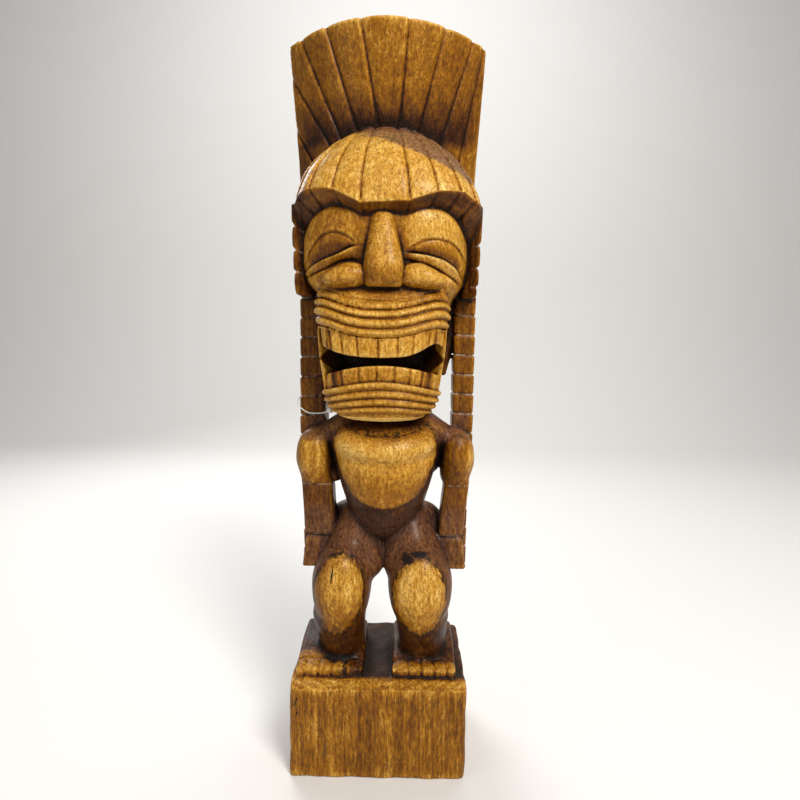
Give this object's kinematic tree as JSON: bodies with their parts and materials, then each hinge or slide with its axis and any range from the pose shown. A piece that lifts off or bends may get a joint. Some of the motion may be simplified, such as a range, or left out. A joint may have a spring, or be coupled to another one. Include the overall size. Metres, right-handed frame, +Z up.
{
  "type": "tiki figure",
  "caption": "Standing wooden tiki figure on a square base, with a large grimacing head, a grooved cap, a tall fluted crest and banded locks of hair behind the arms.",
  "frame": {"origin": "middle of the base's underside, at the middle of the bounding box's bottom face", "axes": "+Z up along the billet, the face looks along -Y, +X towards the figure's left side"},
  "size_m": [0.137, 0.0998, 0.5],
  "materials": {
    "wood_sanded": "satin varnish over light sanded wood, stain left in the grooves",
    "wood_crest": "satin varnish over mid-brown stained wood",
    "wood_stained": "satin varnish over dark brown stain, rubbed lighter on the high places",
    "wood_base": "satin varnish over sawn and sanded wood with a vertical grain",
    "nylon_thread": "translucent white nylon",
    "nylon_clasp": "white nylon"
  },
  "bodies": {
    "root": {"base_block": "wood_base", "right_foot": "wood_stained", "left_foot": "wood_stained", "right_shin": "wood_stained", "left_shin": "wood_stained", "right_thigh": "wood_stained", "left_thigh": "wood_stained", "pelvis": "wood_stained", "torso": "wood_sanded", "shoulders": "wood_stained", "right_upper_arm": "wood_stained", "left_upper_arm": "wood_stained", "right_forearm": "wood_stained", "left_forearm": "wood_stained", "right_hand": "wood_stained", "left_hand": "wood_stained", "head": "wood_sanded", "right_eye": "wood_sanded", "left_eye": "wood_sanded", "nose": "wood_sanded", "upper_lip": "wood_sanded", "upper_teeth": "wood_sanded", "lower_teeth": "wood_sanded", "chin": "wood_sanded", "cap": "wood_sanded", "right_side_hair": "wood_stained", "left_side_hair": "wood_stained", "crest": "wood_crest", "right_lock": "wood_stained", "left_lock": "wood_stained", "tag_thread": "nylon_thread", "tag_clasp": "nylon_clasp"}
  },
  "joints": []
}
